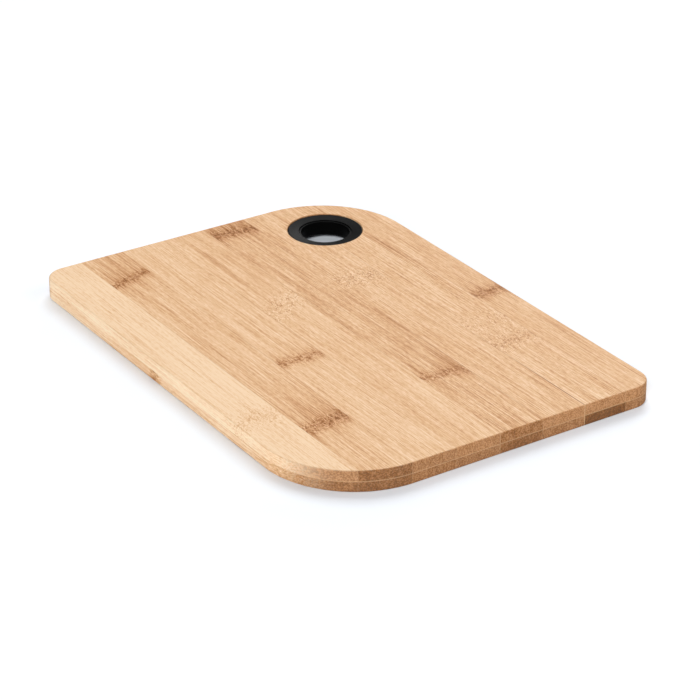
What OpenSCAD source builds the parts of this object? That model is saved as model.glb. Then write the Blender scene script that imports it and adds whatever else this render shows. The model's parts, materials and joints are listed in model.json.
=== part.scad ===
// Bamboo cutting board: two plies of edge-glued strips, with a two-piece snap ring set in one corner.
// Millimetres. +X runs along the grain and +Y across the strips; the board rests on z = 0 and
// the origin is under its centre.

/* [Board] */
// Length along the grain
board_length = 240; // [220:1:300]
// Width across the strips
board_width = 170; // [164:1:176]
// Thickness of each of the two plies
ply_thickness = 5; // [4.8:0.1:6]
// Radius of the ring's corner and of the corner opposite it
large_corner = 44; // [38:1:48]
// Radius of the other two corners
small_corner = 11; // [6:1:15]
// Radius that eases the rim of both faces
edge_ease = 0.8; // [0.4:0.1:1.2]

/* [Strips] */
// Width of a whole strip
strip_width = 22; // [21:0.5:23]
// Width left of the strip that is trimmed along the ring's long edge
first_strip = 17; // [14:0.5:20]

/* [Ring seat] */
// Distance from the short edge to the ring's centre
ring_from_end = 32; // [30:0.5:36]
// Distance from the long edge to the ring's centre
ring_from_side = 34; // [32:0.5:38]
// Radius of the recess that holds a flange
seat_radius = 18; // [17.5:0.1:19]
// Depth of that recess, the same on both faces
seat_depth = 2.2; // [2:0.1:2.4]
// Radius of the hole that joins the two recesses
hole_radius = 15; // [14.6:0.1:15.4]
// Size of the chamfer around each recess
seat_chamfer = 0.4; // [0.2:0.1:0.6]

/* [Ring] */
// Radius of the opening that takes a hook or peg
throat_radius = 11.5; // [10.5:0.1:11.8]
// Wall of the lower half's barrel
barrel_wall = 1; // [0.8:0.1:1.2]
// Radius that rounds the inner edge of the barrel's rim
rim_round = 0.5; // [0.3:0.1:0.5]
// Depth of each flange's outer rim below the board's face
flange_recess = 0.3; // [0.1:0.1:0.4]
// Angle at which each flange falls towards the opening
flange_slope = 6; // [3:0.5:7]
// Radius of the lower half's trumpet mouth
trumpet_radius = 3; // [1.5:0.1:3.4]
// Radius that eases a flange's outer rim
flange_ease = 0.5; // [0.3:0.1:0.7]

/* [Hidden] */
strip_count = 8;
ply_names = ["lower", "upper"];
ring_names = ["ring_lower_half", "ring_upper_half"];

bamboo_tones = ["#dfb68a", "#e0b88c", "#e1b98e", "#dcaf80", "#e6c095", "#e5be92", "#dbae80", "#edcda3"];
lower_tone_shift = 3;
ring_colour = "#26262a";

board_thickness = 2 * ply_thickness;
ring_centre = [ring_from_end - board_length / 2, board_width / 2 - ring_from_side];
fit_gap = 0.05;
flange_radius = seat_radius - 0.1;
flange_top = seat_depth;
collar_outer = hole_radius - fit_gap;
barrel_outer = throat_radius + barrel_wall;
collar_inner = barrel_outer + fit_gap;
collar_ease = 0.3;
rim_drop = 0.4;
rim_ease = 0.2;
bead_height = board_thickness / 2;
bead_reach = 0.25;
bead_half = 0.5;
end_gap = 0.3;
cut = 1;
arc_steps = 12;
$fn = 96;

// corner: [side along X, side along Y, radius, first angle of its arc]
corners = [
    [-1,  1, large_corner,  90],
    [ 1, -1, large_corner, 270],
    [ 1,  1, small_corner,   0],
    [-1, -1, small_corner, 180],
];

function strip_name(ply, i) = str(ply, "_strip_", i);

// Y of the seam after strip i, where 0 is the board's long edge beside the ring.
function seam(i) =
    i <= 0 ? board_width / 2 :
    i >= strip_count ? -board_width / 2 :
    board_width / 2 - first_strip - (i - 1) * strip_width;

function corner_centre(c) = [c[0] * (board_length / 2 - c[2]), c[1] * (board_width / 2 - c[2])];

// Points on an arc about centre, from one angle to another, ends included.
function arc(centre, radius, from, to) =
    [for (k = [0:arc_steps]) let (a = from + (to - from) * k / arc_steps) centre + radius * [cos(a), sin(a)]];

// Height above a face's outermost level that a flange has fallen to at radius r.
function flange_fall(r) = flange_recess + (flange_radius - r) * tan(flange_slope);

// The board seen from above, with no edge easing.
module board_outline() {
    difference() {
        square([board_length, board_width], center = true);
        for (c = corners) {
            translate(corner_centre(c)) rotate(c[3]) difference() {
                square(c[2] + cut);
                circle(c[2]);
            }
        }
    }
}

// Cross-section of what easing takes off a square rim whose edge is at [reach, 0].
module ease_section(reach) {
    translate([reach - edge_ease, -edge_ease]) difference() {
        square(edge_ease + cut);
        circle(edge_ease);
    }
}

// Everything that easing takes off the upper rim, with the upper face at z = 0.
module rim_easing() {
    for (c = corners) {
        translate(corner_centre(c)) rotate(c[3]) rotate_extrude(angle = 90) ease_section(c[2]);
    }
    for (side = [1, -1]) {
        long_run = board_length - large_corner - small_corner;
        short_run = board_width - large_corner - small_corner;
        middle = (large_corner - small_corner) / 2;
        translate([side * (middle + long_run / 2), 0]) rotate([90, 0, -90 * side])
            linear_extrude(long_run) ease_section(board_width / 2);
        rotate([90, 0, 0]) translate([0, 0, side * middle - short_run / 2])
            linear_extrude(short_run) mirror([side > 0 ? 0 : 1, 0]) ease_section(board_length / 2);
    }
}

// The stepped hole for the ring, through both plies.
module ring_seat() {
    mouth = seat_radius + seat_chamfer;
    translate(ring_centre) {
        translate([0, 0, -cut]) cylinder(r = hole_radius, h = board_thickness + 2 * cut);
        translate([0, 0, -cut]) cylinder(r = seat_radius, h = seat_depth + cut);
        translate([0, 0, board_thickness - seat_depth]) cylinder(r = seat_radius, h = seat_depth + cut);
        translate([0, 0, -cut]) cylinder(r1 = mouth + cut, r2 = seat_radius, h = cut + seat_chamfer);
        translate([0, 0, board_thickness - seat_chamfer])
            cylinder(r1 = seat_radius, r2 = mouth + cut, h = cut + seat_chamfer);
    }
}

// One full-length strip of one ply: ply 0 is the lower one and 1 the upper one.
module strip(ply, i) {
    tone_shift = ply == 1 ? 0 : lower_tone_shift;
    color(bamboo_tones[(i - 1 + tone_shift) % strip_count]) difference() {
        translate([0, 0, ply * ply_thickness]) linear_extrude(ply_thickness) intersection() {
            board_outline();
            translate([-board_length / 2 - cut, seam(i)])
                square([board_length + 2 * cut, seam(i - 1) - seam(i)]);
        }
        if (ply == 1) translate([0, 0, board_thickness]) rim_easing();
        if (ply == 0) mirror([0, 0, 1]) rim_easing();
        ring_seat();
    }
}

// Flange and barrel in one moulding: pushed in from below, its barrel ends in a rounded rim.
module ring_lower_half() {
    rim_top = board_thickness - flange_fall(collar_inner) - rim_drop;
    mouth_radius = throat_radius + trumpet_radius;
    mouth = [mouth_radius, flange_fall(mouth_radius) + trumpet_radius / cos(flange_slope)];
    section = concat(
        arc([flange_radius - flange_ease, flange_recess + flange_ease], flange_ease, 270 - flange_slope, 360),
        [[flange_radius, flange_top], [barrel_outer, flange_top]],
        [[barrel_outer, bead_height - bead_half], [barrel_outer + bead_reach, bead_height]],
        [[barrel_outer, bead_height + bead_half]],
        arc([barrel_outer - rim_ease, rim_top - rim_ease], rim_ease, 0, 90),
        arc([throat_radius + rim_round, rim_top - rim_round], rim_round, 90, 180),
        arc(mouth, trumpet_radius, 180, 270 - flange_slope)
    );
    color(ring_colour) translate(ring_centre) rotate_extrude() polygon(section);
}

// Flange and collar in one moulding: pushed in from above, over the barrel and its snap bead.
module ring_upper_half() {
    inner_edge = collar_inner + collar_ease;
    section = concat(
        [[collar_inner, flange_top + end_gap], [collar_outer, flange_top + end_gap]],
        [[collar_outer, board_thickness - seat_depth], [flange_radius, board_thickness - seat_depth]],
        arc([flange_radius - flange_ease, board_thickness - flange_recess - flange_ease], flange_ease,
            0, 90 + flange_slope),
        arc([inner_edge, board_thickness - flange_fall(inner_edge) - collar_ease], collar_ease,
            90 + flange_slope, 180),
        [[collar_inner, bead_height + bead_half], [collar_inner + bead_reach, bead_height]],
        [[collar_inner, bead_height - bead_half]]
    );
    color(ring_colour) translate(ring_centre) rotate_extrude() polygon(section);
}

for (ply = [0, 1], i = [1:strip_count]) {
    strip(ply, i);
}
ring_lower_half();
ring_upper_half();
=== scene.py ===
import json
import math
import random
from dataclasses import dataclass, field

import bmesh
import bpy
from mathutils import Matrix, Vector


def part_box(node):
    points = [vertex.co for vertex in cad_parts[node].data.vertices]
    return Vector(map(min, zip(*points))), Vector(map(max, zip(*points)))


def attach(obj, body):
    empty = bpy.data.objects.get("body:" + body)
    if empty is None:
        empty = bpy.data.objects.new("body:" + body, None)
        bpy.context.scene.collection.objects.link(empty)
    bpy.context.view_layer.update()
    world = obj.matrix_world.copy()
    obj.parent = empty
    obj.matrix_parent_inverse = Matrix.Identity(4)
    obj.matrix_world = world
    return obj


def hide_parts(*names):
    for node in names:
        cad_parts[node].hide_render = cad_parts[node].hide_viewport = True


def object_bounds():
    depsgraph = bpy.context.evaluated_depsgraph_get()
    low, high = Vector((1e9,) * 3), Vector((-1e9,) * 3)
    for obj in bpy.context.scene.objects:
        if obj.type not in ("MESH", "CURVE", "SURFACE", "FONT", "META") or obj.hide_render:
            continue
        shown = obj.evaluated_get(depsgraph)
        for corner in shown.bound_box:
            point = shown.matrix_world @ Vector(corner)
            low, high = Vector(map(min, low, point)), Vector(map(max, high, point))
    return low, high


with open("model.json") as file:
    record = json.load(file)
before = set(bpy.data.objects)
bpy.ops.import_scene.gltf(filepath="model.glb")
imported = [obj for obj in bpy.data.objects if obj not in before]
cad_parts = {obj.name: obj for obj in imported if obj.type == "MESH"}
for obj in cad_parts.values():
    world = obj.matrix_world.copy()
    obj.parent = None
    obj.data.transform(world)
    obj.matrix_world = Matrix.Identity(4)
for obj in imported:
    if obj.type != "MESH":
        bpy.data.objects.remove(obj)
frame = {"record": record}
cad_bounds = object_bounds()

# ------------------------------------------------------------------ dimensions
# Metres, in the CAD frame: +X along the grain, +Y across the strips, +Z up.
MM = 0.001

board_low, board_high = cad_bounds
length, width, thickness = board_high - board_low
glue_z = thickness / 2
STRIP_COUNT = 8

LARGE_CORNER = 44 * MM
SMALL_CORNER = 11 * MM
EDGE_EASE = 0.8 * MM
EASE_STEPS = 8
SMALL_STEPS = 28
LARGE_STEPS = 72

# corner: (side along X, side along Y, radius, first angle of its arc, steps in the arc)
CORNERS = (
    (1, 1, SMALL_CORNER, 0, SMALL_STEPS),
    (-1, 1, LARGE_CORNER, 90, LARGE_STEPS),
    (-1, -1, SMALL_CORNER, 180, SMALL_STEPS),
    (1, -1, LARGE_CORNER, 270, LARGE_STEPS),
)

ring_low, ring_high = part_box("ring_upper_half")
ring_centre = (ring_low + ring_high) / 2
FLANGE_RADIUS = (ring_high.x - ring_low.x) / 2
SEAT_GAP = 0.1 * MM
SEAT_RADIUS = FLANGE_RADIUS + SEAT_GAP
SEAT_DEPTH = 2.2 * MM
SEAT_EASE = 0.4 * MM
HOLE_RADIUS = 15 * MM
CIRCLE_STEPS = 192

THROAT_RADIUS = frame["record"]["mounts"][0]["dims"]["r_mm"] * MM
BARREL_WALL = 1.0 * MM
RIM_ROUND = 0.5 * MM
RIM_EASE = 0.2 * MM
FIT_GAP = 0.05 * MM
FLANGE_RECESS = 0.3 * MM
FLANGE_SLOPE = 6
FLANGE_EASE = 0.5 * MM
COLLAR_EASE = 0.3 * MM
TRUMPET_RADIUS = 3 * MM
RIM_DROP = 0.4 * MM
BEAD_REACH = 0.25 * MM
BEAD_HALF = 0.5 * MM
END_GAP = 0.3 * MM

# Steps in the ring's arcs.
FLANGE_STEPS = 10
RIM_EASE_STEPS = 6
RIM_ROUND_STEPS = 12
TRUMPET_STEPS = 14
COLLAR_STEPS = 8

# A cut's tolerance in metres. The rest are degrees: faces that lie within FLAT_ANGLE of each other are
# merged, and edges sharper than the other two stay sharp.
CUT_TOLERANCE = 1e-8
FLAT_ANGLE = 0.05
WOOD_SHARP = 35
RING_SHARP = 30


def srgb(red, green, blue):
    """A colour given as 0-255 screen values, in linear light with full alpha."""
    linear = []
    for value in (red, green, blue):
        share = value / 255
        linear.append(share / 12.92 if share <= 0.04045 else ((share + 0.055) / 1.055) ** 2.4)
    return (*linear, 1.0)


# ------------------------------------------------------------------ shapes
def arc(centre, radius, start, stop, steps):
    """Points on an arc about centre, from one angle in degrees to another, ends included."""
    points = []
    for step in range(steps + 1):
        angle = math.radians(start + (stop - start) * step / steps)
        points.append((centre[0] + radius * math.cos(angle), centre[1] + radius * math.sin(angle)))
    return points


def outline(inset):
    """The board seen from above, moved inwards by inset."""
    points = []
    for side_x, side_y, radius, start, steps in CORNERS:
        centre = (side_x * (length / 2 - radius), side_y * (width / 2 - radius))
        points += arc(centre, radius - inset, start, start + 90, steps)
    return points


def ring_circle(radius):
    """A circle about the ring's axis."""
    return arc(ring_centre, radius, 0, 360, CIRCLE_STEPS)[:-1]


def bridge(mesh, first, second):
    """Quads between two closed loops with the same number of vertices."""
    for here in range(len(first)):
        after = (here + 1) % len(first)
        mesh.faces.new((first[here], first[after], second[after], second[here]))


def wall(mesh, levels, height_of):
    """A wall through a list of (points, depth) levels; returns its first and last loops."""
    loops = []
    for points, depth in levels:
        loops.append([mesh.verts.new((x, y, height_of(depth))) for x, y in points])
    for first, second in zip(loops, loops[1:]):
        bridge(mesh, first, second)
    return loops[0], loops[-1]


def loop_edges(mesh, loop):
    """The edges between the neighbours in a closed loop of vertices."""
    return [mesh.edges.get((loop[i - 1], loop[i])) for i in range(len(loop))]


def ply_mesh(upper):
    """One whole ply with its eased rim and its half of the ring's seat, as a bmesh."""
    mesh = bmesh.new()

    def height_of(depth):
        return board_high.z - depth if upper else board_low.z + depth

    rim = [(outline(0), glue_z)]
    for inset, rise in arc((EDGE_EASE, EDGE_EASE), EDGE_EASE, 180, 270, EASE_STEPS):
        rim.append((outline(inset), rise))
    seat = [(ring_circle(HOLE_RADIUS), glue_z), (ring_circle(HOLE_RADIUS), SEAT_DEPTH)]
    seat.append((ring_circle(SEAT_RADIUS), SEAT_DEPTH))
    for radius, depth in arc((SEAT_RADIUS + SEAT_EASE, SEAT_EASE), SEAT_EASE, 180, 270, EASE_STEPS):
        seat.append((ring_circle(radius), depth))

    rim_glued, rim_shown = wall(mesh, rim, height_of)
    seat_glued, seat_shown = wall(mesh, seat, height_of)
    for outer, inner in ((rim_glued, seat_glued), (rim_shown, seat_shown)):
        edges = loop_edges(mesh, outer) + loop_edges(mesh, inner)
        bmesh.ops.triangle_fill(mesh, edges=edges, use_beauty=True)
    return mesh


def cut_across(mesh, seam_y, direction):
    """Cuts the mesh at a plane of constant Y, drops what lies beyond it and closes the cut."""
    bmesh.ops.bisect_plane(
        mesh,
        geom=mesh.verts[:] + mesh.edges[:] + mesh.faces[:],
        dist=CUT_TOLERANCE,
        plane_co=(0, seam_y, 0),
        plane_no=(0, direction, 0),
        clear_outer=True,
    )
    bmesh.ops.holes_fill(mesh, edges=[edge for edge in mesh.edges if edge.is_boundary], sides=0)


def finished_object(mesh, name, sharp_angle):
    """Turns a bmesh into a smooth-shaded object whose flat faces stay flat."""
    bmesh.ops.recalc_face_normals(mesh, faces=mesh.faces)
    data = bpy.data.meshes.new(name)
    mesh.to_mesh(data)
    mesh.free()
    data.shade_smooth()
    data.set_sharp_from_angle(angle=math.radians(sharp_angle))
    piece = bpy.data.objects.new(name, data)
    bpy.context.scene.collection.objects.link(piece)
    normals = piece.modifiers.new("flat_faces_stay_flat", "WEIGHTED_NORMAL")
    normals.keep_sharp = True
    return piece


def strip_piece(whole_ply, ply_name, number):
    """One bamboo strip, cut from its ply between the CAD strip's two seams."""
    node = f"{ply_name}_strip_{number}"
    low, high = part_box(node)
    mesh = whole_ply.copy()
    if high.y < board_high.y - MM:
        cut_across(mesh, high.y, 1)
    if low.y > board_low.y + MM:
        cut_across(mesh, low.y, -1)
    bmesh.ops.dissolve_limit(
        mesh,
        angle_limit=math.radians(FLAT_ANGLE),
        verts=mesh.verts,
        edges=mesh.edges,
        use_dissolve_boundaries=False,
    )
    piece = finished_object(mesh, f"bamboo_{ply_name}_{number}", WOOD_SHARP)
    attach(piece, "root")
    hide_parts(node)
    return piece


def revolved_piece(section, name, node):
    """A closed section of (radius, height) points turned about the ring's axis."""
    mesh = bmesh.new()
    loops = []
    for radius, height in section:
        loops.append([mesh.verts.new((x, y, height)) for x, y in ring_circle(radius)])
    for first, second in zip(loops, loops[1:] + loops[:1]):
        bridge(mesh, first, second)
    piece = finished_object(mesh, name, RING_SHARP)
    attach(piece, "root")
    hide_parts(node)
    return piece


def flange_fall(radius):
    """How far below its own board face a flange lies at a radius."""
    return FLANGE_RECESS + (FLANGE_RADIUS - radius) * math.tan(math.radians(FLANGE_SLOPE))


def lower_half_section():
    """Flange with a trumpet mouth, and a barrel that ends in a rounded rim."""
    barrel_outer = THROAT_RADIUS + BARREL_WALL
    rim_top = board_high.z - flange_fall(barrel_outer + FIT_GAP) - RIM_DROP
    mouth_radius = THROAT_RADIUS + TRUMPET_RADIUS
    mouth_height = flange_fall(mouth_radius) + TRUMPET_RADIUS / math.cos(math.radians(FLANGE_SLOPE))
    mouth = (mouth_radius, mouth_height)
    outer = (FLANGE_RADIUS - FLANGE_EASE, FLANGE_RECESS + FLANGE_EASE)
    face_angle = 270 - FLANGE_SLOPE
    return (
        arc(outer, FLANGE_EASE, face_angle, 360, FLANGE_STEPS)
        + [(FLANGE_RADIUS, SEAT_DEPTH), (barrel_outer, SEAT_DEPTH)]
        + [(barrel_outer, glue_z - BEAD_HALF), (barrel_outer + BEAD_REACH, glue_z)]
        + [(barrel_outer, glue_z + BEAD_HALF)]
        + arc((barrel_outer - RIM_EASE, rim_top - RIM_EASE), RIM_EASE, 0, 90, RIM_EASE_STEPS)
        + arc((THROAT_RADIUS + RIM_ROUND, rim_top - RIM_ROUND), RIM_ROUND, 90, 180, RIM_ROUND_STEPS)
        + arc(mouth, TRUMPET_RADIUS, 180, face_angle, TRUMPET_STEPS)
    )


def upper_half_section():
    """Flange and the collar that slides over the barrel and its snap bead."""
    collar_inner = THROAT_RADIUS + BARREL_WALL + FIT_GAP
    collar_outer = HOLE_RADIUS - FIT_GAP
    inner_edge = collar_inner + COLLAR_EASE
    top = board_high.z
    outer = (FLANGE_RADIUS - FLANGE_EASE, top - FLANGE_RECESS - FLANGE_EASE)
    inner = (inner_edge, top - flange_fall(inner_edge) - COLLAR_EASE)
    face_angle = 90 + FLANGE_SLOPE
    return (
        [(collar_inner, SEAT_DEPTH + END_GAP), (collar_outer, SEAT_DEPTH + END_GAP)]
        + [(collar_outer, top - SEAT_DEPTH), (FLANGE_RADIUS, top - SEAT_DEPTH)]
        + arc(outer, FLANGE_EASE, 0, face_angle, FLANGE_STEPS)
        + arc(inner, COLLAR_EASE, face_angle, 180, COLLAR_STEPS)
        + [(collar_inner, glue_z + BEAD_HALF), (collar_inner + BEAD_REACH, glue_z)]
        + [(collar_inner, glue_z - BEAD_HALF)]
    )


# ------------------------------------------------------------------ materials
# Sockets of Blender's nodes, by number.
NORMAL_OUTPUT = 1
OBJECT_OUTPUT = 3
NOISE_COLOUR = 1
MIX_FIRST, MIX_SECOND, MIX_RESULT = 6, 7, 2
SCALE_BY = 3


class Shader:
    """A material under construction. Each method adds one node and returns its output socket."""

    def __init__(self, name):
        self.material = bpy.data.materials.new(name)
        self.material.use_nodes = True
        self.tree = self.material.node_tree
        self.surface = self.tree.nodes["Principled BSDF"]

    def feed(self, socket, value):
        """Links an output socket to the socket, or sets a plain value."""
        if isinstance(value, bpy.types.NodeSocket):
            self.tree.links.new(value, socket)
        else:
            socket.default_value = value

    def add(self, kind, inputs, output=0, **settings):
        node = self.tree.nodes.new("ShaderNode" + kind)
        for key, value in settings.items():
            setattr(node, key, value)
        for key, value in inputs.items():
            self.feed(node.inputs[key], value)
        return node.outputs[output]

    def math(self, operation, *values):
        return self.add("Math", dict(enumerate(values)), operation=operation)

    def vector(self, operation, *values):
        return self.add("VectorMath", dict(enumerate(values)), operation=operation)

    def noise(self, point, frequency, offset, detail=2.0, roughness=0.5, output=0):
        """Noise with its own frequency per millimetre along each axis; output 1 is a colour."""
        placed = self.vector("MULTIPLY_ADD", point, frequency, offset)
        inputs = {"Vector": placed, "Scale": 1.0, "Detail": detail, "Roughness": roughness}
        return self.add("TexNoise", inputs, output)

    def fade(self, value, start, stop):
        """A smooth step: 0 at start and 1 at stop."""
        inputs = {"Value": value, "From Min": start, "From Max": stop}
        return self.add("MapRange", inputs, interpolation_type="SMOOTHSTEP")

    def bell(self, value, spread):
        """A bell curve of value, with its shoulders at plus and minus spread."""
        scaled = self.math("DIVIDE", value, spread)
        square = self.math("MULTIPLY", scaled, scaled)
        return self.math("EXPONENT", self.math("MULTIPLY", square, -1.0))

    def centred(self, value, amount):
        """Noise from 0 to 1 turned into noise about zero, of the given amount."""
        return self.math("MULTIPLY_ADD", value, 2.0 * amount, -amount)

    def mix(self, factor, first, second):
        """The first colour at factor 0, and the second at 1."""
        inputs = {0: factor, MIX_FIRST: first, MIX_SECOND: second}
        return self.add("Mix", inputs, MIX_RESULT, data_type="RGBA")

    def millimetres(self):
        """The point on the object, in millimetres of the CAD frame."""
        metres = self.add("TexCoord", {}, OBJECT_OUTPUT)
        return self.vector("MULTIPLY", metres, (1 / MM,) * 3)

    def split(self, vector):
        """A vector's X, Y and Z."""
        axes = self.add("SeparateXYZ", {0: vector}).node.outputs
        return axes[0], axes[1], axes[2]

    def facing(self, axis):
        """How squarely the surface faces along an axis, either way: 0 for X, 1 for Y and 2 for Z."""
        return self.math("ABSOLUTE", self.split(self.add("TexCoord", {}, NORMAL_OUTPUT))[axis])

    def bump(self, height, distance, strength):
        inputs = {"Height": height, "Distance": distance, "Strength": strength}
        return self.add("Bump", inputs)


@dataclass
class Knuckle:
    """Where a culm's node crosses a strip. Millimetres; strength 1 is a very dark one."""
    x: float
    strength: float
    spread: float = 2.6
    slant: float = 0.0
    halo: float = 8.0
    curls: float = 0.0


@dataclass
class Stain:
    """A long soft streak: darker when its strength is above zero, and paler below. Millimetres."""
    x: float
    y: float
    half_length: float
    half_width: float
    strength: float


@dataclass
class Strip:
    """What sets one strip's look apart from its neighbours'. Depth 0 is palest and 1 is deepest."""
    depth: float
    grain: float = 1.0
    knuckles: list = field(default_factory=list)
    stains: list = field(default_factory=list)
    end_depth: float = 0.5


UPPER_STRIPS = {
    1: Strip(0.50, knuckles=[Knuckle(10, 0.78, 4.0, 0.0, 10)], end_depth=0.30),
    2: Strip(
        0.465,
        1.25,
        [Knuckle(55, 0.42, 3.2, -0.1, 6, 0.7), Knuckle(35, 0.0, 6.0, 0.0, 1, 0.4)],
        [Stain(-55, 65, 22, 2.2, 0.36)],
        0.33,
    ),
    3: Strip(0.465, 1.15, [Knuckle(-35, 0.10, 4.2, 0.0, 4, 1.0)], end_depth=0.30),
    4: Strip(
        0.56,
        1.25,
        [Knuckle(-109, 0.92, 4.5, 0.05, 18), Knuckle(64, 0.56, 4.0, 0.08, 9)],
        [Stain(52, 21, 16, 1.6, 0.35)],
        0.66,
    ),
    5: Strip(
        0.435,
        knuckles=[Knuckle(-30, 0.06, 4.2, -0.7, 4, 0.9)],
        stains=[Stain(-85, -12.5, 34, 1.6, 0.4)],
        end_depth=0.40,
    ),
    6: Strip(0.37, knuckles=[Knuckle(18.5, 0.72, 4.0, 0.0, 8)], end_depth=0.54),
    7: Strip(
        0.41,
        knuckles=[Knuckle(-92, 0.88, 2.8, -0.3, 22), Knuckle(72, 0.87, 4.5, -0.12, 26)],
        stains=[Stain(-20, -59, 50, 3, 0.08)],
        end_depth=0.95,
    ),
    8: Strip(0.10, 1.0, [Knuckle(54, 0.24, 4.5, -0.1, 2, 0.5)], [Stain(92, -85, 22, 2.2, 0.20)]),
}

LOWER_STRIPS = {
    1: Strip(0.42, knuckles=[Knuckle(-44, 0.5)], end_depth=0.55),
    2: Strip(0.55, knuckles=[Knuckle(-70, 0.4)], end_depth=1.20),
    3: Strip(0.36, knuckles=[Knuckle(28, 0.1, 5.0, 0.2, 5, 0.6)], end_depth=0.62),
    4: Strip(0.46, 1.1, [Knuckle(-60, 0.7)], end_depth=0.9),
    5: Strip(0.30, knuckles=[Knuckle(82, 0.5)], end_depth=0.64),
    6: Strip(0.44, knuckles=[Knuckle(-98, 0.6), Knuckle(40, 0.3)], end_depth=0.62),
    7: Strip(0.38, knuckles=[Knuckle(-6, 0.75, 4.0, 0.2, 16)], end_depth=1.0),
    8: Strip(
        0.34,
        knuckles=[Knuckle(-14, 0.7, 4.0), Knuckle(96, 0.3)],
        stains=[Stain(80, -85, 30, 6, 0.24)],
        end_depth=0.85,
    ),
}

# Where a seam's dark line shows most, and how much glue it shows on the ends. Seam 1 follows strip 1.
# A mark is where along X it is darkest, the half length of that part, and its strength.
SEAM_MARKS = {2: (102, 26, 0.95), 3: (60, 60, 0.35)}
PLAIN_MARK = (0, 60, 0.2)
SEAM_GLUE = {2: 0.8, 4: 0.5}
PLAIN_GLUE = 0.15
PLY_GLUE = 0.45

# How bright the studio light is on the upper face, so the colours below are given as they look there.
ILLUMINATION = (1.263, 1.285, 1.316)


def wood(red, green, blue):
    """The surface colour that shows as these 0-255 screen values on the upper face."""
    looks = srgb(red, green, blue)
    return tuple(look / light for look, light in zip(looks, ILLUMINATION)) + (1.0,)


# Depth of tone and the colour it stands for, from the palest wood to the darkest speck.
TONES = (
    (0.0, wood(252, 220, 183)),
    (0.3, wood(242, 202, 160)),
    (0.65, wood(224, 174, 126)),
    (1.0, wood(196, 141, 92)),
    (1.4, wood(168, 108, 56)),
    (2.0, wood(132, 77, 28)),
)
END_TONES = (
    (0.0, wood(214, 157, 108)),
    (0.5, wood(180, 123, 76)),
    (1.0, wood(132, 75, 27)),
    (1.6, wood(88, 46, 12)),
)
SEAM_COLOUR = wood(168, 108, 56)
GLUE = wood(236, 196, 150)
# Painted light: how much paler the long sides are made, standing in for the light on them; BRIGHTEST caps
# it.
PAINTED_SIDE_LIGHT_GAIN = (1.29, 1.36, 1.44)
BRIGHTEST = (0.96, 0.96, 0.96)


@dataclass
class Layer:
    """A layer of fibre noise: its frequencies per millimetre, and the depth of tone it adds or takes."""
    along: float
    across: float
    detail: float
    roughness: float
    amount: float
    grows_with_grain: bool


FIBRE_LAYERS = {
    "bands": Layer(0.004, 0.16, 2.0, 0.50, 0.15, False),
    "streaks": Layer(0.016, 0.75, 3.0, 0.55, 0.14, True),
    "dashes": Layer(0.042, 1.90, 2.0, 0.50, 0.50, True),
    "hairs": Layer(0.018, 2.80, 2.0, 0.50, 0.60, True),
    "mottle": Layer(0.050, 0.25, 3.0, 0.50, 0.18, False),
    "flecks": Layer(0.360, 2.20, 1.0, 0.50, 0.45, True),
}

# Millimetres: how far a knuckle's line wobbles, and how far fibres drift, and swirl at a knuckle.
KNUCKLE_WOBBLE = 3.0
FIBRE_DRIFT = 1.5
KNUCKLE_SWIRL = 6.0

# A knuckle's stain runs this many times further towards -X than towards +X.
STAIN_LEAN = 3.0
# The shortest reach of a stain's stripes and how much longer they can be, as shares of the halo.
SHORTEST_REACH, REACH_SPAN = 0.35, 1.3
# Depths of tone: the palest of those stripes and how much deeper they can be, the smudge under a
# knuckle's specks, the pale and dark sides of its curls, and the round bundles.
HALO_DEPTH, STRIPE_DEPTH = 0.24, 0.46
SMUDGE_DEPTH = 0.12
CURL_DEPTH = 0.50
BUNDLE_DEPTH = 0.05

# On the ends: how far the blotches and dots change the tone, and how much of the face's look is lost.
BLOTCH_DEPTH = 0.35
DOT_DEPTH = 0.34
END_SHARE = 0.85

WOOD_ROUGHNESS, WOOD_ROUGHNESS_CHANGE, END_ROUGHER = 0.58, 0.16, 0.16
WOOD_SHEEN = 0.12
# What the relief is made of, how high it is, and how strongly it shows.
STREAK_RELIEF, DASH_RELIEF, BUNDLE_RELIEF, SEAM_RELIEF = 0.5, 0.6, -0.35, -0.25
RELIEF_HEIGHT = 0.05 * MM
RELIEF_STRENGTH = 0.5


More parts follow.
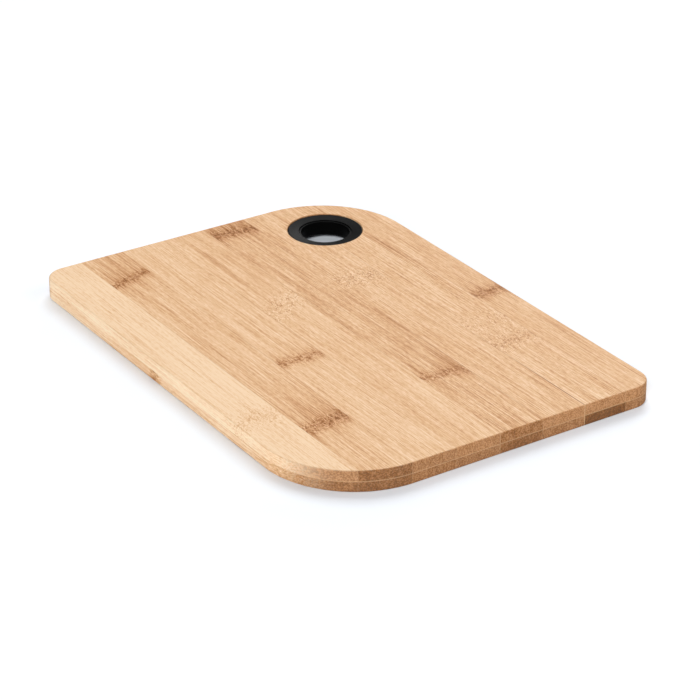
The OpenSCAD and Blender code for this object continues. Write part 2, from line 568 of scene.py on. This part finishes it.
class Bamboo(Shader):
    """The wood of one strip: fibres along X that show as dots on the ends, its knuckles and its seams."""

    def __init__(self, name, number, strip, low, high, seed):
        super().__init__(name)
        self.number = number
        self.strip = strip
        self.low = low
        self.high = high
        self.picker = random.Random(seed)
        self.point = self.millimetres()
        self.x, self.y, self.z = self.split(self.point)

    def offset(self):
        """A random place in the noise, so that no two patterns match."""
        return tuple(self.picker.uniform(-500, 500) for _ in range(3))

    def fibre_noise(self, along, across, detail=2.0, roughness=0.5, point=None):
        """Noise stretched along the fibres, at frequencies per millimetre."""
        frequency = (along, across, across)
        return self.noise(point or self.fibre, frequency, self.offset(), detail, roughness)

    def knuckle_fields(self):
        """Adds up the cores, halos and curls of the strip's knuckles."""
        self.cores, self.halos, self.curls = 0.0, 0.0, 0.0
        wobble_noise = self.fibre_noise(0.0, 0.30, 3.0, 0.6, point=self.point)
        wobble = self.centred(wobble_noise, KNUCKLE_WOBBLE)
        reach_noise = self.fade(self.fibre_noise(0.012, 0.8, 2.0, point=self.point), 0.30, 0.70)
        middle_y = (self.low.y + self.high.y) / 2 / MM
        for knuckle in self.strip.knuckles:
            across = self.math("SUBTRACT", self.y, middle_y)
            line = self.math("MULTIPLY_ADD", across, knuckle.slant, knuckle.x)
            along = self.math("ADD", self.math("SUBTRACT", self.x, line), wobble)
            core = self.bell(along, knuckle.spread)
            self.cores = self.math("MULTIPLY_ADD", core, knuckle.strength, self.cores)
            wide = self.bell(along, 2.0 * knuckle.spread)
            self.curls = self.math("MULTIPLY_ADD", wide, knuckle.curls, self.curls)
            # The stain runs out along the fibres, much further towards -X.
            ahead = self.math("MULTIPLY", self.math("MAXIMUM", along, 0.0), STAIN_LEAN)
            run = self.math("SUBTRACT", ahead, self.math("MINIMUM", along, 0.0))
            shortest, span = SHORTEST_REACH * knuckle.halo, REACH_SPAN * knuckle.halo
            reach = self.math("MULTIPLY_ADD", reach_noise, span, shortest)
            halo = self.math("EXPONENT", self.math("MULTIPLY", self.math("DIVIDE", run, reach), -1.0))
            self.halos = self.math("MULTIPLY_ADD", halo, knuckle.strength, self.halos)

    def bend_fibres(self):
        """Fibres drift a little along the strip, and swirl where they cross a knuckle."""
        drift_noise = self.noise(self.point, (0.005, 0.02, 0.02), self.offset(), 1.0)
        self.drift = self.centred(drift_noise, FIBRE_DRIFT)
        sideways = self.add("CombineXYZ", {1: self.drift, 2: self.drift})
        drifted = self.vector("ADD", self.point, sideways)
        swirl = self.noise(self.point, (0.30, 0.45, 0.45), self.offset(), output=NOISE_COLOUR)
        swirl = self.vector("SUBTRACT", swirl, (0.5, 0.5, 0.5))
        knuckled = self.math("MINIMUM", self.math("ADD", self.cores, self.curls), 1.0)
        amount = self.math("MULTIPLY", knuckled, KNUCKLE_SWIRL)
        swirl = self.add("VectorMath", {0: swirl, SCALE_BY: amount}, operation="SCALE")
        self.fibre = self.vector("ADD", drifted, swirl)

    def fibre_depth(self):
        """How deep the tone is before any speck: the fibre layers, bundles, stains and halos."""
        depth = self.strip.depth
        self.layers = {}
        for name, layer in FIBRE_LAYERS.items():
            noise = self.fibre_noise(layer.along, layer.across, layer.detail, layer.roughness)
            amount = layer.amount * (self.strip.grain if layer.grows_with_grain else 1.0)
            depth = self.math("ADD", depth, self.centred(noise, amount))
            self.layers[name] = noise
        cell_point = self.vector("MULTIPLY_ADD", self.fibre, (0.014, 1.15, 1.15), self.offset())
        cells = self.add("TexVoronoi", {"Vector": cell_point, "Scale": 1.0, "Randomness": 1.0})
        self.bundles = self.fade(cells, 0.36, 0.10)
        depth = self.math("MULTIPLY_ADD", self.bundles, BUNDLE_DEPTH * self.strip.grain, depth)
        for stain in self.strip.stains:
            along = self.bell(self.math("SUBTRACT", self.x, stain.x), stain.half_length)
            side = self.math("SUBTRACT", self.math("ADD", self.y, self.drift), stain.y)
            shape = self.math("MULTIPLY", along, self.bell(side, stain.half_width))
            depth = self.math("MULTIPLY_ADD", shape, stain.strength, depth)
        stripes = self.fade(self.fibre_noise(0.008, 0.95, 1.0), 0.38, 0.62)
        striped = self.math("MULTIPLY_ADD", stripes, STRIPE_DEPTH, HALO_DEPTH)
        return self.math("MULTIPLY_ADD", self.halos, striped, depth)

    def speckle(self, depth):
        """Dark specks in a knuckle's core, and fine curls where a knuckle shows only faintly."""
        speck_noise = self.fibre_noise(0.60, 1.10, 2.0, 0.6, point=self.point)
        specks = self.fade(speck_noise, 0.47, 0.62)
        smudge = self.math("ADD", specks, SMUDGE_DEPTH)
        depth = self.math("MULTIPLY_ADD", self.cores, smudge, depth)
        curl_noise = self.centred(self.fibre_noise(0.48, 0.75, 1.0, point=self.point), 0.5)
        pale = self.fade(self.math("ABSOLUTE", curl_noise), 0.06, 0.01)
        beside = self.math("SUBTRACT", curl_noise, 0.09)
        dark = self.fade(self.math("ABSOLUTE", beside), 0.07, 0.01)
        curl = self.math("MULTIPLY", self.math("SUBTRACT", dark, pale), CURL_DEPTH)
        return self.math("MULTIPLY_ADD", self.curls, curl, depth)

    def toned(self, depth, tones):
        """The colour of a depth of tone, from a table of tones."""
        deepest = tones[-1][0]
        ramp = self.add("ValToRGB", {0: self.math("DIVIDE", depth, deepest)})
        stops = ramp.node.color_ramp.elements
        stops[0].color, stops[1].color = tones[0][1], tones[-1][1]
        for tone, colour in tones[1:-1]:
            stop = stops.new(tone / deepest)
            stop.color = colour
        return ramp

    def painted_side_light(self, colour):
        """Painted light: the long sides are made paler, standing in for the light that falls on them."""
        side = self.fade(self.facing(1), 0.60, 0.98)
        painted_lit_colour = self.vector("MINIMUM", self.vector("MULTIPLY", colour, PAINTED_SIDE_LIGHT_GAIN), BRIGHTEST)
        return self.mix(side, colour, painted_lit_colour)

    def end_grain(self, colour):
        """Cut ends soak up more oil, and show the fibre bundles as dots."""
        self.end = self.fade(self.facing(0), 0.05, 0.80)
        blotches = self.fibre_noise(0.05, 0.35, 2.0)
        dots = self.fade(self.fibre_noise(0.05, 1.5, 2.0, 0.6), 0.36, 0.64)
        tone = self.math("ADD", self.strip.end_depth, self.centred(blotches, BLOTCH_DEPTH))
        tone = self.math("ADD", tone, self.centred(dots, DOT_DEPTH))
        end_colour = self.mix(END_SHARE, colour, self.toned(tone, END_TONES))
        return self.mix(self.end, colour, end_colour)

    def seam_mark(self, distance, middle, half_length, strength):
        """How dark a seam's line is: strongest about one place along the seam, and faint elsewhere."""
        along = self.bell(self.math("SUBTRACT", self.x, middle), half_length)
        shade = self.math("MULTIPLY_ADD", along, 0.8 * strength, 0.2 * strength)
        return self.math("MULTIPLY", self.fade(distance, 0.45, 0.15), shade)

    def glue_lines(self, colour):
        """A hair of glue shows at the seams inside the board, and between the plies."""
        self.seam, marked, glued = 0.0, 0.0, 0.0
        for seam, seam_y in ((self.number, self.low.y), (self.number - 1, self.high.y)):
            if 0 < seam < STRIP_COUNT:
                distance = self.math("ABSOLUTE", self.math("SUBTRACT", self.y, seam_y / MM))
                line = self.fade(distance, 0.26, 0.08)
                self.seam = self.math("ADD", self.seam, line)
                mark = self.seam_mark(distance, *SEAM_MARKS.get(seam, PLAIN_MARK))
                marked = self.math("ADD", marked, mark)
                glued = self.math("MULTIPLY_ADD", line, SEAM_GLUE.get(seam, PLAIN_GLUE), glued)
        dark = self.math("MULTIPLY", marked, self.math("SUBTRACT", 1.0, self.end))
        colour = self.mix(dark, colour, SEAM_COLOUR)
        to_glue = self.math("ABSOLUTE", self.math("SUBTRACT", self.z, glue_z / MM))
        between_plies = self.math("MULTIPLY", self.fade(to_glue, 0.30, 0.08), PLY_GLUE)
        glued = self.math("MAXIMUM", between_plies, glued)
        return self.mix(self.math("MULTIPLY", glued, self.end), colour, GLUE)

    def finish(self, colour):
        """Colour, roughness and relief; returns the material."""
        self.feed(self.surface.inputs["Base Color"], colour)
        streaks, dashes = self.layers["streaks"], self.layers["dashes"]
        rough = self.math("ADD", WOOD_ROUGHNESS, self.centred(streaks, WOOD_ROUGHNESS_CHANGE))
        rough = self.math("MULTIPLY_ADD", self.end, END_ROUGHER, rough)
        self.feed(self.surface.inputs["Roughness"], rough)
        self.surface.inputs["Specular IOR Level"].default_value = WOOD_SHEEN
        relief = self.math("MULTIPLY", streaks, STREAK_RELIEF)
        relief = self.math("MULTIPLY_ADD", dashes, DASH_RELIEF, relief)
        relief = self.math("MULTIPLY_ADD", self.bundles, BUNDLE_RELIEF, relief)
        relief = self.math("MULTIPLY_ADD", self.seam, SEAM_RELIEF, relief)
        bumps = self.bump(relief, RELIEF_HEIGHT, RELIEF_STRENGTH)
        self.feed(self.surface.inputs["Normal"], bumps)
        return self.material


def bamboo(ply_name, number, strip, low, high, seed):
    """One strip's own bamboo material, between the corners low and high of its box."""
    shade = Bamboo(f"bamboo_{ply_name}_{number}", number, strip, low, high, seed)
    shade.knuckle_fields()
    shade.bend_fibres()
    colour = shade.toned(shade.speckle(shade.fibre_depth()), TONES)
    # Painted light: the long sides are made paler, as if more light fell on them.
    colour = shade.painted_side_light(colour)
    colour = shade.end_grain(colour)
    return shade.finish(shade.glue_lines(colour))


# The plastic's fine texture and its slow change of sheen, at frequencies per millimetre.
TEXTURE_FREQUENCY = (5.0, 5.0, 5.0)
TEXTURE_OFFSET = (3.1, 7.7, 1.9)
FLOW_FREQUENCY = (0.25, 0.25, 0.25)
FLOW_OFFSET = (9.0, 2.0, 5.0)
RING_ROUGHNESS, FLOW_ROUGHNESS_CHANGE, TEXTURE_ROUGHNESS_CHANGE = 0.40, 0.07, 0.05
RING_SHEEN = 0.022
TEXTURE_HEIGHT = 0.02 * MM
TEXTURE_STRENGTH = 0.35


def ring_plastic():
    """Black satin moulded plastic with a fine spark-eroded texture."""
    shade = Shader("ring_plastic")
    point = shade.millimetres()
    texture = shade.noise(point, TEXTURE_FREQUENCY, TEXTURE_OFFSET, 3.0, 0.6)
    flow = shade.noise(point, FLOW_FREQUENCY, FLOW_OFFSET)
    colour = shade.mix(flow, srgb(3, 3, 3), srgb(6, 6, 6))
    shade.feed(shade.surface.inputs["Base Color"], colour)
    rough = shade.math("ADD", RING_ROUGHNESS, shade.centred(flow, FLOW_ROUGHNESS_CHANGE))
    rough = shade.math("ADD", rough, shade.centred(texture, TEXTURE_ROUGHNESS_CHANGE))
    shade.feed(shade.surface.inputs["Roughness"], rough)
    shade.surface.inputs["Specular IOR Level"].default_value = RING_SHEEN
    shade.feed(shade.surface.inputs["Normal"], shade.bump(texture, TEXTURE_HEIGHT, TEXTURE_STRENGTH))
    return shade.material


# ------------------------------------------------------------------ the board
PLIES = (
    ("upper", UPPER_STRIPS, 100),
    ("lower", LOWER_STRIPS, 200),
)

for ply_name, strips, first_seed in PLIES:
    whole_ply = ply_mesh(ply_name == "upper")
    for number in range(1, STRIP_COUNT + 1):
        piece = strip_piece(whole_ply, ply_name, number)
        low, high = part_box(f"{ply_name}_strip_{number}")
        material = bamboo(ply_name, number, strips[number], low, high, first_seed + number)
        piece.data.materials.append(material)
    whole_ply.free()

plastic = ring_plastic()
for section, name, node in (
    (lower_half_section(), "ring_lower", "ring_lower_half"),
    (upper_half_section(), "ring_upper", "ring_upper_half"),
):
    revolved_piece(section, name, node).data.materials.append(plastic)


# ------------------------------------------------------------------ stage, lights and camera
FLOOR_COLOUR = (0.85, 0.88, 0.915, 1.0)
FLOOR_HALF = 6.0
FLOOR_GAP = 0.02 * MM


def floor():
    """A plain pale studio floor, a hair below the board's underside."""
    shade = Shader("floor")
    shade.surface.inputs["Base Color"].default_value = FLOOR_COLOUR
    shade.surface.inputs["Roughness"].default_value = 1.0
    shade.surface.inputs["Specular IOR Level"].default_value = 0.0
    mesh = bmesh.new()
    bmesh.ops.create_grid(mesh, x_segments=1, y_segments=1, size=FLOOR_HALF)
    data = bpy.data.meshes.new("floor")
    mesh.to_mesh(data)
    mesh.free()
    ground = bpy.data.objects.new("floor", data)
    ground.location.z = board_low.z - FLOOR_GAP
    data.materials.append(shade.material)
    bpy.context.scene.collection.objects.link(ground)


def towards(azimuth, elevation):
    """The direction from the board to a viewpoint: azimuth 0 looks along +Y, and 90 along -X."""
    turn, rise = math.radians(azimuth), math.radians(elevation)
    return Vector((math.sin(turn) * math.cos(rise), -math.cos(turn) * math.cos(rise), math.sin(rise)))


LIGHT_DISTANCE = 4.5
LIGHT_UNIT = 1.5
WHITE = (1.0, 1.0, 1.0)
COOL = (0.982, 1.0, 1.022)

# name, azimuth, elevation, size, power, tint
LIGHTS = (
    ("back", 236.5, 52, 1.0, 16.0, WHITE),
    ("low_back", 222, 14, 0.6, 7.0, WHITE),
    ("right", 146.5, 35, 0.9, 6.2, COOL),
    ("front", 38, 32, 0.9, 17.2, COOL),
    ("behind_camera", 56.5, 45, 0.8, 4.4, COOL),
)


def soft_light(name, azimuth, elevation, size, power, tint):
    """A square softbox that faces the board's centre, with its size and power given for LIGHT_UNIT away.

    It stands much further off, and larger and stronger to match, so the floor is lit evenly.
    """
    scale = LIGHT_DISTANCE / LIGHT_UNIT
    lamp = bpy.data.lights.new(name, "AREA")
    lamp.shape = "SQUARE"
    lamp.size = size * scale
    lamp.energy = power * scale ** 2
    lamp.color = tint
    holder = bpy.data.objects.new(name, lamp)
    direction = towards(azimuth, elevation)
    holder.location = direction * LIGHT_DISTANCE
    holder.rotation_euler = direction.to_track_quat("Z", "Y").to_euler()
    bpy.context.scene.collection.objects.link(holder)


def studio_world(strength):
    """A plain white surrounding, which adds a little light from all sides."""
    world = bpy.data.worlds.new("studio")
    world.use_nodes = True
    background = world.node_tree.nodes["Background"]
    background.inputs["Color"].default_value = (*WHITE, 1.0)
    background.inputs["Strength"].default_value = strength
    bpy.context.scene.world = world


CAMERA_AZIMUTH = 56.53
CAMERA_ELEVATION = 27.31
CAMERA_DISTANCE = 1.1726
CAMERA_ASIDE = 5.985 * MM
CAMERA_RAISE = -6.712 * MM
CAMERA_LENS = 135.47
CAMERA_SENSOR = 36.0


def photo_camera():
    """A long lens that looks down at the board, with its own horizon level."""
    data = bpy.data.cameras.new("camera")
    data.lens = CAMERA_LENS
    data.sensor_width = CAMERA_SENSOR
    data.clip_start = 0.01
    data.clip_end = 50.0
    camera = bpy.data.objects.new("camera", data)
    back = towards(CAMERA_AZIMUTH, CAMERA_ELEVATION)
    right = Vector((0, 0, 1)).cross(back).normalized()
    up = back.cross(right)
    middle = (board_low + board_high) / 2
    camera.location = middle + back * CAMERA_DISTANCE + right * CAMERA_ASIDE + up * CAMERA_RAISE
    camera.rotation_euler = Matrix((right, up, back)).transposed().to_euler()
    bpy.context.scene.collection.objects.link(camera)
    bpy.context.scene.camera = camera


floor()
studio_world(0.01)
for light in LIGHTS:
    soft_light(*light)
photo_camera()
bpy.context.scene.view_settings.view_transform = "Standard"
